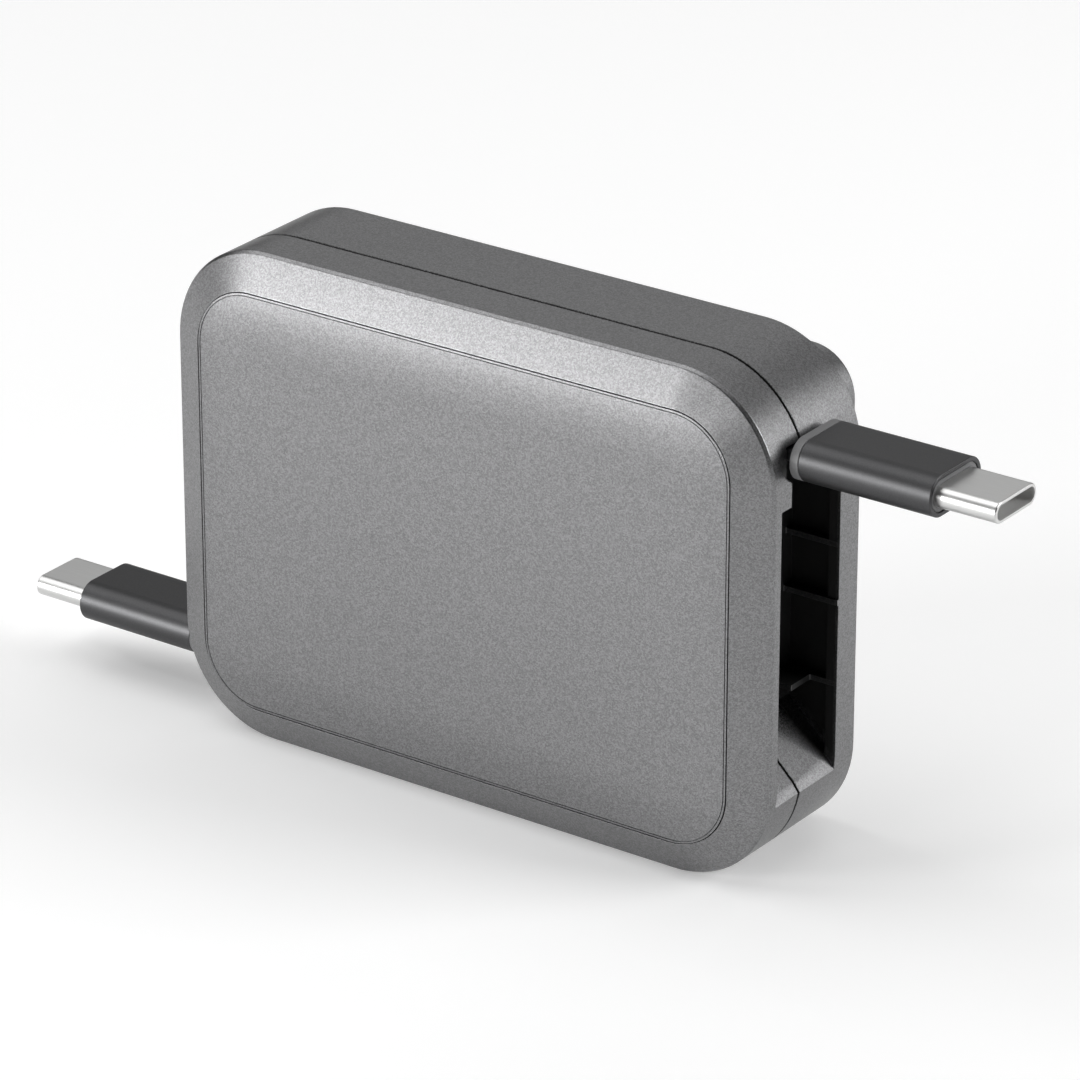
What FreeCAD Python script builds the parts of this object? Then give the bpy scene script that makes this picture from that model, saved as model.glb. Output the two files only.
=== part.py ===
import FreeCAD, Part
import math
import os

# A flat USB-C cable wound on a spring reel in a rounded case, with a plug at two opposite corners.
# Millimetres. +X is to the right of the front, +Y to the back, +Z up. The origin is under the case's middle.

# Case, outside
case_width = 82.0
case_height = 61.0
case_corner = 12.7
band_depth = 17.24
bevel_inset = 4.4
bevel_depth = 2.1
parting_from_front = 6.1
seam_width = 0.24
seam_depth = 0.5
edge_soft = 0.3

# Case, walls
wall = 1.6
front_wall = 1.5

# Front panel
panel_corner = 7.7
panel_crown = 0.38
panel_thickness = 1.0
panel_gap = 0.2
panel_steps = ((0.0, 0.0), (0.3, 0.4), (4.0, 1.0))

# Rear cover
cover_height = 3.98
cover_inset = 3.3
cover_corner = 5.7
cover_chamfer = 0.6

# Plugs
plug_from_front = 7.33
plug_from_top = 9.2
plug_standoff = 0.38
collar_length = 1.03
sleeve_length = 16.73
sleeve_width = 10.4
sleeve_height = 4.94
sleeve_wall = 0.55
tip_length = 7.53
tip_recess = 0.12

# Connector shell, of the standard size
connector_width = 8.34
connector_height = 2.56
connector_wall = 0.28
connector_nose = 0.2
connector_depth_in_body = 6.0
mouth_width = 6.65
mouth_height = 0.98
upper_contacts = (0, 3, 4, 5, 6, 8, 11)
lower_contacts = (0, 3, 7, 8, 11)
contact_places = 12
contact_pitch = 0.5
contact_width = 0.25
contact_length = 4.0
contact_height = 0.08
contact_setback = 0.5
carrier_setback = 2.7
board_length = 7.5
board_width = 7.2
board_thickness = 0.8

# Side bays
bay_from_front = 1.46
bay_width = 11.75
bay_depth = 7.1
bay_side_wall = 1.5
bay_inner_wall = 1.2
bay_undercut = 1.2
ramp_foot = 10.45
ramp_knee_in = 0.95
ramp_knee_rise = 1.3
ramp_slope = 0.97
exit_depth = 0.76
exit_gap = 0.2
exit_flare = 0.25
exit_flare_front = 0.75
exit_steps = ((0.0, 1.0), (0.2, 0.45), (1.0, 0.0))
tab_reach = 1.9
tab_below_plug = 0.15
tab_height = 3.0
rib_heights = (38.1, 21.2)
crossing_rib_height = 31.2
crossing_rib_proud = 0.25
rib_thickness = 0.7
shelf_in = 3.5
shelf_width = 3.7

# Flat cable
ribbon_width = 7.0
ribbon_thickness = 1.3
ribbon_edge = 0.4
wound_layers = 9
ribbon_side_gap = 0.4
ribbon_pass_gap = 0.5

# Reel
axis_drop = 0.47
flange_radius = 24.0
flange_thickness = 1.1
hub_wall = 1.2
hub_gap = 0.1
cup_radius = 14.0
cup_wall = 1.2
key_count = 3
key_width = 2.4
key_length = 1.2

# Ratchet
disc_thickness = 2.0
notch_count = 4
notch_gap = 0.4
notch_mouth = 1.2
notch_run = 7.0
pawl_pivot_radius = 29.5
pawl_pivot_turn = 45.0
pawl_reach = 7.0
pawl_swing = 14.0
pawl_gap = 0.35
pawl_tip_half = 0.3
pawl_hub_radius = 2.3
pawl_pin_radius = 1.1
pawl_side_gap = 0.1
leaf_thickness = 0.25
leaf_gap = 0.15
leaf_length = 5.5
leaf_tilt = 15.0
leaf_holder = 1.8

# Mainspring, run down against its cup, with a strip leading to the post
spring_width = 5.2
spring_thickness = 0.3
spring_pack = 2.6
spring_side_gap = 0.25
strip_foot = 3.4

# Centre post
post_radius = 2.5
post_flat = 0.6
post_seat = 0.9
post_slit = 0.5
post_boss_wall = 1.6

# Snap hooks between the shells
hook_places = (-17.0, 17.0)
hook_width = 5.0
hook_thickness = 1.0
hook_reach = 4.0
hook_barb = 0.4
hook_barb_length = 1.0

# Clearances
running_gap = 0.06
moving_gap = 0.25
seat_gap = 0.03

# Places worked out from the sizes above
case_depth = panel_crown + bevel_depth + band_depth + cover_height
front_y = -case_depth / 2
panel_y = front_y + panel_crown
band_front_y = panel_y + bevel_depth
band_rear_y = band_front_y + band_depth
rear_y = band_rear_y + cover_height
parting_y = band_front_y + parting_from_front
panel_seat_y = panel_y + panel_thickness
front_inside_y = panel_seat_y + front_wall
rear_inside_y = band_rear_y - wall
cover_inside_y = rear_y - wall
side_x = case_width / 2
case_middle_z = case_height / 2
axis_z = case_middle_z - axis_drop
inside_top_z = case_height - wall
plug_y = band_front_y + plug_from_front
plug_z = case_height - plug_from_top
wound_radius = plug_z - axis_z

bevel_length = math.hypot(bevel_inset, bevel_depth)

bay_front_y = band_front_y + bay_from_front
bay_rear_y = bay_front_y + bay_width
bay_back_x = side_x - bay_depth
bay_side_x = side_x - bay_side_wall
bay_top_z = plug_z + ribbon_thickness / 2 + ribbon_pass_gap
exit_floor_x = side_x - exit_depth
exit_wall_x = exit_floor_x - wall
tab_top_z = plug_z - sleeve_height / 2 - tab_below_plug
tab_bottom_z = tab_top_z - tab_height

ribbon_front_y = plug_y - ribbon_width / 2
ribbon_rear_y = plug_y + ribbon_width / 2
disc_rear_y = ribbon_front_y - ribbon_side_gap
disc_front_y = disc_rear_y - disc_thickness
flange_front_y = ribbon_rear_y + ribbon_side_gap
flange_rear_y = flange_front_y + flange_thickness
spring_front_y = flange_rear_y + spring_side_gap
spring_rear_y = spring_front_y + spring_width
cup_rear_y = spring_rear_y + spring_side_gap
hub_radius = wound_radius - (wound_layers + 0.5) * ribbon_thickness - hub_gap
boss_face_y = disc_front_y - moving_gap
post_foot_y = panel_seat_y + front_wall / 3

collar_x = side_x + plug_standoff
sleeve_x = collar_x + collar_length
sleeve_end_x = sleeve_x + sleeve_length
tip_x = sleeve_end_x + tip_length
body_end_x = sleeve_end_x - tip_recess
connector_x = body_end_x - connector_depth_in_body
board_x = connector_x - board_length

turn_centre = FreeCAD.Vector(0, 0, axis_z)
case_centre = FreeCAD.Vector(0, 0, case_middle_z)
along_y = FreeCAD.Vector(0, 1, 0)


def block(x_low, x_high, y_low, y_high, z_low, z_high):
    """A box between the given faces."""
    corner = FreeCAD.Vector(x_low, y_low, z_low)
    return Part.makeBox(x_high - x_low, y_high - y_low, z_high - z_low, corner)


def rod(radius, y_low, y_high, x=0.0, z=axis_z):
    """A round bar along Y."""
    return Part.makeCylinder(radius, y_high - y_low, FreeCAD.Vector(x, y_low, z), along_y)


def tube(outer, inner, y_low, y_high):
    """A round tube along Y about the reel's axis."""
    return rod(outer, y_low, y_high).cut(rod(inner, y_low, y_high))


def corner_outline(width, height, radius, place):
    """A rectangle with round corners. place turns a point of its plane into a point in space."""
    half_w = width / 2
    half_h = height / 2
    edges = []
    corners = ((1, 1, 0), (-1, 1, 90), (-1, -1, 180), (1, -1, 270))
    arcs = []
    for side, level, start in corners:
        centre_u = side * (half_w - radius)
        centre_v = level * (half_h - radius)
        points = []
        for turn in (0, 45, 90):
            angle = math.radians(start + turn)
            points.append(place(centre_u + radius * math.cos(angle), centre_v + radius * math.sin(angle)))
        arcs.append(points)
    for index, points in enumerate(arcs):
        edges.append(Part.Arc(*points).toShape())
        following = arcs[(index + 1) % len(arcs)]
        if points[2].distanceToPoint(following[0]) > 0.001:
            edges.append(Part.LineSegment(points[2], following[0]).toShape())
    return Part.Wire(edges)


def case_outline(inset, radius, y):
    """The case's outline seen from the front, drawn in by inset, in the plane at y."""
    def place(u, v):
        return FreeCAD.Vector(u, y, case_middle_z + v)
    return corner_outline(case_width - 2 * inset, case_height - 2 * inset, radius, place)


def case_slab(inset, radius, y_low, y_high):
    """A slab of the case's outline, drawn in by inset."""
    face = Part.Face(case_outline(inset, radius, y_low))
    return face.extrude(FreeCAD.Vector(0, y_high - y_low, 0))


def ruled_solid(wires):
    """A solid through the outlines, straight from each one to the next."""
    return Part.makeLoft(wires, True, True)


def plug_outline(x, front, rear, half):
    """A flat oval in the plane at x, reaching front and rear of the plug's centre line, half above it."""
    def place(u, v):
        return FreeCAD.Vector(x, plug_y + u, plug_z + v)
    front_turn = half - front
    rear_turn = rear - half
    edges = [
        Part.LineSegment(place(front_turn, half), place(rear_turn, half)).toShape(),
        Part.Arc(place(rear_turn, half), place(rear, 0), place(rear_turn, -half)).toShape(),
        Part.LineSegment(place(rear_turn, -half), place(front_turn, -half)).toShape(),
        Part.Arc(place(front_turn, -half), place(-front, 0), place(front_turn, half)).toShape(),
    ]
    return Part.Wire(edges)


def plug_bar(width, height, x_low, x_high):
    """A bar along X round the plug's centre line, with fully rounded sides."""
    face = Part.Face(plug_outline(x_low, width / 2, width / 2, height / 2))
    return face.extrude(FreeCAD.Vector(x_high - x_low, 0, 0))


def other_side(shape, centre=turn_centre):
    """The same shape half a turn round the reel's axis, or round another centre."""
    turned = shape.copy()
    turned.rotate(centre, along_y, 180)
    return turned


def case_solid(steps):
    """A solid of the case's outline through pairs of an inset and a Y, all with the same corner centres."""
    return ruled_solid([case_outline(inset, case_corner - inset, y) for inset, y in steps])


def prism(points, y_low, y_high):
    """A solid of the outline through the given points of an XZ plane."""
    corners = [FreeCAD.Vector(x, y_low, z) for x, z in points]
    face = Part.Face(Part.makePolygon(corners + corners[:1]))
    return face.extrude(FreeCAD.Vector(0, y_high - y_low, 0))


def bay_profile(x_low, y_low, y_high):
    """The bay's hollow between two depths: open at the side face, with a ramp of two slopes for a floor."""
    knee_x = side_x - ramp_knee_in
    knee_z = ramp_foot + ramp_knee_rise
    outside_x = side_x + wall
    outside_z = ramp_foot - wall * ramp_knee_rise / ramp_knee_in
    back_z = knee_z + (knee_x - x_low) * ramp_slope
    corners = (
        (outside_x, outside_z),
        (knee_x, knee_z),
        (x_low, back_z),
        (x_low, tab_bottom_z),
        (outside_x, tab_bottom_z),
    )
    return prism(corners, y_low, y_high)


def exit_dish():
    """The dish that the plug's collar stands in front of, rolled out over its rim, most of all in front."""
    outlines = []
    for depth, flare in ((-wall / exit_depth, 1.0),) + exit_steps:
        front = sleeve_width / 2 + exit_gap + flare * exit_flare_front
        rear = sleeve_width / 2 + exit_gap + flare * exit_flare
        half = sleeve_height / 2 + exit_gap + flare * exit_flare
        outlines.append(plug_outline(side_x - depth * exit_depth, front, rear, half))
    return ruled_solid(outlines)


def bay_hollow():
    """All that is cut from the case for the right bay and the exit over it."""
    hollow = bay_profile(bay_back_x, bay_front_y, bay_rear_y)
    deeper = bay_profile(bay_back_x, bay_rear_y, bay_rear_y + bay_undercut)
    behind_wall = block(bay_back_x, bay_side_x, bay_front_y, bay_rear_y + bay_undercut, 0, case_height)
    hollow = hollow.fuse(deeper.common(behind_wall))
    upper = block(bay_back_x, exit_wall_x, bay_front_y, bay_rear_y, tab_bottom_z, bay_top_z)
    throat_front_y = bay_front_y + tab_reach
    beside_tab = block(exit_wall_x, side_x + wall, throat_front_y, bay_rear_y, tab_bottom_z, tab_top_z)
    throat_rear_y = ribbon_rear_y + ribbon_pass_gap
    throat = block(exit_wall_x, side_x, throat_front_y, throat_rear_y, tab_top_z, bay_top_z)
    window_front_y = ribbon_front_y - ribbon_pass_gap
    window_low_z = plug_z - ribbon_thickness / 2 - ribbon_pass_gap
    window = block(
        bay_back_x - bay_inner_wall, bay_back_x, window_front_y, throat_rear_y, window_low_z, bay_top_z
    )
    for piece in (upper, beside_tab, throat, exit_dish(), window):
        hollow = hollow.fuse(piece)
    return hollow


def bay_ribs():
    """The ribs on the bay's rear wall: one crosses the side wall, and the lowest one carries a shelf."""
    half = rib_thickness / 2
    undercut_y = bay_rear_y + bay_undercut
    ribs = []
    for height in rib_heights:
        ribs.append(block(bay_back_x, bay_side_x, bay_rear_y, undercut_y, height - half, height + half))
    low_z = crossing_rib_height - half
    high_z = crossing_rib_height + half
    ribs.append(block(bay_back_x, side_x, bay_rear_y - crossing_rib_proud, undercut_y, low_z, high_z))
    shelf_low = rib_heights[-1] - half
    shelf_high = rib_heights[-1] + half
    shelf_front_y = bay_rear_y - shelf_width
    ribs.append(block(bay_back_x, bay_back_x + shelf_in, shelf_front_y, bay_rear_y, shelf_low, shelf_high))
    return ribs


def bay_block():
    """The solid that the bay is hollowed from, inside the case."""
    low_x = bay_back_x - bay_inner_wall
    return block(low_x, side_x, front_inside_y, rear_inside_y, 0, bay_top_z + bay_inner_wall)


def seam_groove():
    """The fine groove where the two shells meet, round the case and down the ramps of both bays."""
    y_low = parting_y - seam_width / 2
    y_high = parting_y + seam_width / 2
    outer = case_slab(-wall, case_corner + wall, y_low, y_high)
    groove = outer.cut(case_slab(seam_depth, case_corner - seam_depth, y_low, y_high))
    under_ramp = bay_profile(bay_back_x, y_low, y_high)
    under_ramp.translate(FreeCAD.Vector(0, 0, -seam_depth))
    return groove.fuse(under_ramp).fuse(other_side(under_ramp))


def case_body():
    """The closed case with its inside hollowed and its bays, before it is split in two."""
    soft_share = edge_soft / bevel_length
    outside = case_solid([
        (bevel_inset, panel_y),
        (bevel_inset * soft_share, band_front_y - bevel_depth * soft_share),
        (0, band_front_y + edge_soft),
        (0, band_rear_y - edge_soft),
        (edge_soft, band_rear_y),
    ])
    inside = case_slab(wall, case_corner - wall, front_inside_y, rear_inside_y)
    kept = bay_block()
    kept = kept.fuse(other_side(kept))
    body = outside.cut(inside.cut(kept))
    hollow = bay_hollow()
    body = body.cut(hollow).cut(other_side(hollow))
    for rib in bay_ribs():
        body = body.fuse(rib).fuse(other_side(rib))
    return body.cut(seam_groove())


def snap_hook(x, grow):
    """A hook under the case's top wall, with its barb behind the parting line. grow makes its pocket."""
    half = hook_width / 2 + grow
    top_z = inside_top_z - moving_gap
    end_y = parting_y + hook_reach
    arm = block(x - half, x + half, front_inside_y, end_y, top_z - hook_thickness, top_z + grow)
    barb_top = inside_top_z + hook_barb
    barb = block(x - half, x + half, end_y - hook_barb_length - grow, end_y + grow, top_z, barb_top + grow)
    return arm.fuse(barb)


def snap_hooks(grow=0.0):
    """The four hooks, two at the top and two at the bottom."""
    hooks = [snap_hook(x, grow) for x in hook_places]
    return hooks + [other_side(hook, case_centre) for hook in hooks]


def front_shell(body):
    """The front half, with the panel's seat, hooks, the post's boss, the pawl's pin and the leaf's seat."""
    shell = body.common(block(-case_width, case_width, front_y, parting_y, -wall, case_height + wall))
    shell = shell.cut(case_slab(bevel_inset, panel_corner, panel_y - panel_crown, panel_seat_y))
    boss = rod(post_radius + post_boss_wall, front_inside_y, boss_face_y)
    shell = shell.fuse(boss).cut(rod(post_radius + seat_gap, post_foot_y, boss_face_y))
    for hook in snap_hooks():
        shell = shell.fuse(hook)
    x, z = pawl_pivot()
    shell = shell.fuse(rod(pawl_pin_radius, front_inside_y, disc_rear_y, x, z))
    return shell.fuse(leaf_seat())


def rear_shell(body):
    """The rear half: the wide band, the rear part of both bays and the opening for the spring cup."""
    shell = body.common(block(-case_width, case_width, parting_y, band_rear_y, -wall, case_height + wall))
    shell = shell.cut(rod(cup_radius + wall, rear_inside_y, band_rear_y))
    for pocket in snap_hooks(moving_gap / 2):
        shell = shell.cut(pocket)
    return shell


def front_panel():
    """The plate in the front face, crowned in steps of an inset and a share of the crown."""
    wires = [case_outline(bevel_inset + panel_gap, panel_corner - panel_gap, panel_seat_y)]
    for step, rise in panel_steps:
        inset = panel_gap + step
        wires.append(case_outline(bevel_inset + inset, panel_corner - inset, panel_y - rise * panel_crown))
    return ruled_solid(wires)


def post_key(gap):
    """The flats on the post's rear end, as a slab wider than the post."""
    flat_x = post_radius - post_flat + gap
    return block(-flat_x, flat_x, cover_inside_y, rear_y, axis_z - case_height, axis_z + case_height)


def rear_cover():
    """The raised cap over the rear opening, with a keyed seat for the centre post."""
    steps = ((0, band_rear_y), (0, rear_y - cover_chamfer), (cover_chamfer, rear_y))
    outside = ruled_solid([case_outline(cover_inset + inset, cover_corner - inset, y) for inset, y in steps])
    inside = case_slab(cover_inset + wall, cover_corner - wall, band_rear_y, cover_inside_y)
    seat = rod(post_radius + seat_gap, cover_inside_y, cover_inside_y + post_seat)
    return outside.cut(inside).cut(seat.common(post_key(seat_gap)))


def centre_post():
    """The fixed post that the reel turns on: flats at its rear end and a slit for the spring's inner end."""
    post = rod(post_radius, post_foot_y, cover_inside_y)
    end = rod(post_radius, cover_inside_y, cover_inside_y + post_seat)
    post = post.fuse(end.common(post_key(0)))
    slit = block(-post_slit / 2, post_slit / 2, spring_front_y, cover_inside_y, axis_z - case_height, axis_z)
    return post.cut(slit)


def keys(grow, y_low, y_high):
    """The keys round the hub's front end, that turn the ratchet disc with the drum."""
    half = key_width / 2 + grow
    low = axis_z + hub_radius - hub_wall - grow
    high = axis_z + hub_radius + grow
    found = []
    for index in range(key_count):
        key = block(-half, half, y_low, y_high, low, high)
        key.rotate(turn_centre, along_y, 360.0 * index / key_count)
        found.append(key)
    return found


def reel_drum():
    """The moulded drum: hub, rear flange and the spring's cup behind it."""
    drum = tube(hub_radius, hub_radius - hub_wall, disc_rear_y, flange_front_y)
    drum = drum.fuse(rod(flange_radius, flange_front_y, flange_rear_y))
    drum = drum.fuse(tube(cup_radius, cup_radius - cup_wall, flange_rear_y, cup_rear_y))
    for key in keys(0, disc_rear_y - key_length, disc_rear_y + hub_wall):
        drum = drum.fuse(key.common(tube(hub_radius, hub_radius - hub_wall, disc_front_y, flange_front_y)))
    return drum.cut(rod(post_radius + running_gap, flange_front_y, flange_rear_y))


def pawl_frame(r, t):
    """The point at r outwards from the reel's axis towards the pawl's pivot, and t across it, as X and Z."""
    turn = math.radians(pawl_pivot_turn)
    x = t * math.cos(turn) - r * math.sin(turn)
    z = axis_z + r * math.cos(turn) + t * math.sin(turn)
    return x, z


def pawl_pivot():
    """Centre of the pawl's pin."""
    return pawl_frame(pawl_pivot_radius, 0)


def pawl_tip(swing):
    """The pawl's tip, as r and t, swung in by that many degrees."""
    tip_radius = flange_radius + pawl_gap + 2 * pawl_tip_half
    arm_r = math.sqrt(tip_radius ** 2 - pawl_reach ** 2) - pawl_pivot_radius
    turn = math.radians(swing)
    r = arm_r * math.cos(turn) - pawl_reach * math.sin(turn)
    t = arm_r * math.sin(turn) + pawl_reach * math.cos(turn)
    return pawl_pivot_radius + r, t


def notch():
    """One notch of the ratchet disc, over the pawl: steep on the side that pulls the cable in."""
    rest_r, rest_t = pawl_tip(0)
    deep_r, deep_t = pawl_tip(pawl_swing)
    outline = (
        (rest_r + notch_mouth, rest_t + notch_mouth),
        (deep_r - notch_gap, deep_t + pawl_tip_half + notch_gap),
        (deep_r - notch_gap - pawl_tip_half, deep_t - notch_gap),
        (flange_radius + notch_gap, deep_t - notch_run),
        (rest_r + notch_mouth, deep_t - notch_run),
    )
    points = [pawl_frame(r, t) for r, t in outline]
    return prism(points, disc_front_y, disc_rear_y)


def ratchet_disc():
    """The front flange, with the pawl's notches in its rim."""
    disc = rod(flange_radius, disc_front_y, disc_rear_y)
    disc = disc.cut(rod(post_radius + running_gap, disc_front_y, disc_rear_y))
    for slot in keys(running_gap, disc_rear_y - key_length - running_gap, disc_rear_y):
        disc = disc.cut(slot)
    for index in range(notch_count):
        cutter = notch()
        cutter.rotate(turn_centre, along_y, 360.0 * index / notch_count)
        disc = disc.cut(cutter)
    return disc


def pawl_side(along, across):
    """A point beside the pawl at rest: along its arm from the pivot and across it, outwards, as X and Z."""
    tip_r, tip_t = pawl_tip(0)
    arm_r = tip_r - pawl_pivot_radius
    length = math.hypot(arm_r, tip_t)
    unit_r = arm_r / length
    unit_t = tip_t / length
    r = pawl_pivot_radius + along * unit_r + across * unit_t
    return pawl_frame(r, along * unit_t - across * unit_r)


def pawl_length():
    """From the pawl's pivot to its tip."""
    tip_r, tip_t = pawl_tip(0)
    return math.hypot(tip_r - pawl_pivot_radius, tip_t)


def pawl():
    """The ratchet's pawl, resting just clear of the disc's rim."""
    y_low = front_inside_y + pawl_side_gap
    y_high = disc_rear_y - pawl_side_gap
    x, z = pawl_pivot()
    outline = (
        pawl_side(0, pawl_hub_radius),
        pawl_side(pawl_length(), pawl_tip_half),
        pawl_side(pawl_length(), -pawl_tip_half),
        pawl_side(0, -pawl_hub_radius),
    )
    body = rod(pawl_hub_radius, y_low, y_high, x, z).fuse(prism(outline, y_low, y_high))
    return body.cut(rod(pawl_pin_radius + running_gap, y_low, y_high, x, z))


def leaf_outline(grow, start):
    """The leaf spring's outline: it touches the pawl's outer side and leans away from it."""
    foot = pawl_length() / 2
    lift = (pawl_hub_radius + pawl_tip_half) / 2 + leaf_gap
    slope = math.tan(math.radians(leaf_tilt))
    ends = []
    for along in (start, leaf_length):
        ends.append((foot + along, lift + along * slope))
    (a0, c0), (a1, c1) = ends
    return (
        pawl_side(a0, c0 - grow), pawl_side(a1, c1 - grow),
        pawl_side(a1, c1 + leaf_thickness + grow), pawl_side(a0, c0 + leaf_thickness + grow),
    )


def pawl_leaf():
    """The steel leaf that presses the pawl towards the disc."""
    return prism(leaf_outline(0, 0), front_inside_y, disc_rear_y - pawl_side_gap)


def leaf_seat():
    """The slotted post on the front shell that holds the leaf's far end."""
    holder = prism(leaf_outline(leaf_holder / 2, leaf_length - leaf_holder), front_inside_y, disc_rear_y)
    return holder.cut(prism(leaf_outline(seat_gap, 0), front_inside_y, disc_rear_y))


def half_turn_ring(centre_z, radius, thickness, side, y_low, y_high):
    """Half of a round band, thickness wide inside radius, on the +X side or the -X side of its centre."""
    ring = Part.makeCylinder(radius, y_high - y_low, FreeCAD.Vector(0, y_low, centre_z), along_y)
    bore = Part.makeCylinder(radius - thickness, y_high - y_low, FreeCAD.Vector(0, y_low, centre_z), along_y)
    reach = 2 * radius
    if side > 0:
        half = block(0, reach, y_low, y_high, centre_z - reach, centre_z + reach)
    else:
        half = block(-reach, 0, y_low, y_high, centre_z - reach, centre_z + reach)
    return ring.cut(bore).common(half)


def half_centre(side):
    """Height of the centre of the half turns on one side: each strand gains one thickness in half a turn."""
    return axis_z - side * ribbon_thickness / 2


def cable_winding():
    """The roll: two strands wound together, each half turn on its own centre."""
    total = wound_layers * ribbon_thickness
    halves = []
    for side in (1, -1):
        centre_z = half_centre(side)
        halves.append(half_turn_ring(centre_z, wound_radius, total, side, ribbon_front_y, ribbon_rear_y))
    return halves[0].fuse(halves[1])


def cable_end():
    """The straight end of the cable, from the roll's top to the right plug."""
    low_z = plug_z - ribbon_thickness / 2
    high_z = plug_z + ribbon_thickness / 2
    end = block(0, collar_x, ribbon_front_y, ribbon_rear_y, low_z, high_z)
    long_edges = [edge for edge in end.Edges if edge.BoundBox.XLength > collar_x / 2]
    return end.makeChamfer(ribbon_edge, long_edges)


def mainspring():
    """The spiral spring: its turns lie on the cup's wall, and a strip in one half turn leads to the post."""
    outer = cup_radius - cup_wall
    pack_inner = outer - spring_pack
    spring = tube(outer, pack_inner, spring_front_y, spring_rear_y)
    strip_top = pack_inner + spring_thickness
    radius = (strip_top + strip_foot) / 2
    centre_z = axis_z + (strip_top - strip_foot) / 2
    strip = half_turn_ring(centre_z, radius, spring_thickness, 1, spring_front_y, spring_rear_y)
    spring = spring.fuse(strip)
    half = spring_thickness / 2
    tail = block(-half, half, spring_front_y, spring_rear_y, axis_z - strip_foot, axis_z - post_radius / 3)
    return spring.fuse(tail)


def plug_body():
    """The moulded body of the right plug: its collar, and the core inside the sleeve."""
    inner_width = sleeve_width - 2 * sleeve_wall
    inner_height = sleeve_height - 2 * sleeve_wall
    body = plug_bar(inner_width, inner_height, sleeve_x, body_end_x)
    body = body.fuse(plug_bar(sleeve_width, sleeve_height, collar_x, sleeve_x))
    body = body.cut(plug_bar(connector_width, connector_height, connector_x, body_end_x))
    return body.cut(circuit_board())


def plug_sleeve():
    """The aluminium sleeve of the right plug."""
    outside = plug_bar(sleeve_width, sleeve_height, sleeve_x, sleeve_end_x)
    inner_width = sleeve_width - 2 * sleeve_wall
    inner_height = sleeve_height - 2 * sleeve_wall
    return outside.cut(plug_bar(inner_width, inner_height, sleeve_x, sleeve_end_x))


def connector_shell():
    """The drawn metal shell of the right plug, eased at its nose."""
    outside = plug_bar(connector_width, connector_height, connector_x, tip_x)
    nose = [edge for edge in outside.Edges if edge.BoundBox.XMin > tip_x - 0.001]
    outside = outside.makeChamfer(connector_nose, nose)
    inner_width = connector_width - 2 * connector_wall
    inner_height = connector_height - 2 * connector_wall
    return outside.cut(plug_bar(inner_width, inner_height, connector_x, tip_x))


def carrier_front_x():
    """Where the contact carrier ends behind the connector's nose."""
    return tip_x - carrier_setback


def contact_carrier():
    """The moulded liner of the right plug's connector, with the mouth for the socket's tongue."""
    inner_width = connector_width - 2 * connector_wall
    inner_height = connector_height - 2 * connector_wall
    carrier = plug_bar(inner_width, inner_height, connector_x, carrier_front_x())
    half_w = mouth_width / 2
    half_h = mouth_height / 2
    mouth_x = sleeve_end_x
    mouth = block(mouth_x, tip_x, plug_y - half_w, plug_y + half_w, plug_z - half_h, plug_z + half_h)
    return carrier.cut(mouth)


def contacts():
    """The two rows of contacts in the right plug's mouth, as separate solids."""
    pads = []
    end_x = carrier_front_x() - contact_setback
    half = mouth_height / 2
    rows = ((upper_contacts, half - contact_height), (lower_contacts, -half))
    for places, low in rows:
        for place in places:
            middle = plug_y + (place - (contact_places - 1) / 2) * contact_pitch
            pads.append(block(
                end_x - contact_length, end_x, middle - contact_width / 2, middle + contact_width / 2,
                plug_z + low, plug_z + low + contact_height,
            ))
    return Part.makeCompound(pads)


def circuit_board():
    """The small board of the right plug, behind its connector."""
    half_w = board_width / 2
    half_t = board_thickness / 2
    return block(board_x, connector_x, plug_y - half_w, plug_y + half_w, plug_z - half_t, plug_z + half_t)


def save(name, shape):
    """Writes one piece to its file."""
    shape.exportStep("parts/" + name + ".step")
    print(name, "solids", len(shape.Solids), "volume", round(shape.Volume, 1), "valid", shape.isValid())


os.makedirs("parts", exist_ok=True)
case = case_body()
save("front_shell", front_shell(case))
save("rear_shell", rear_shell(case))
save("front_panel", front_panel())
save("rear_cover", rear_cover())
save("centre_post", centre_post())
save("reel_drum", reel_drum())
save("ratchet_disc", ratchet_disc())
save("mainspring", mainspring())
save("cable_winding", cable_winding())
save("pawl", pawl())
save("pawl_leaf", pawl_leaf())
plug_pieces = (
    ("plug_body", plug_body()),
    ("plug_sleeve", plug_sleeve()),
    ("connector_shell", connector_shell()),
    ("contact_carrier", contact_carrier()),
    ("contacts", contacts()),
    ("circuit_board", circuit_board()),
    ("cable_end", cable_end()),
)
for name, shape in plug_pieces:
    save("right_" + name, shape)
    save("left_" + name, other_side(shape))
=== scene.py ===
import math

import bpy
from bpy.props import FloatProperty, FloatVectorProperty, IntProperty, PointerProperty
from mathutils import Matrix, Vector


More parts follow.
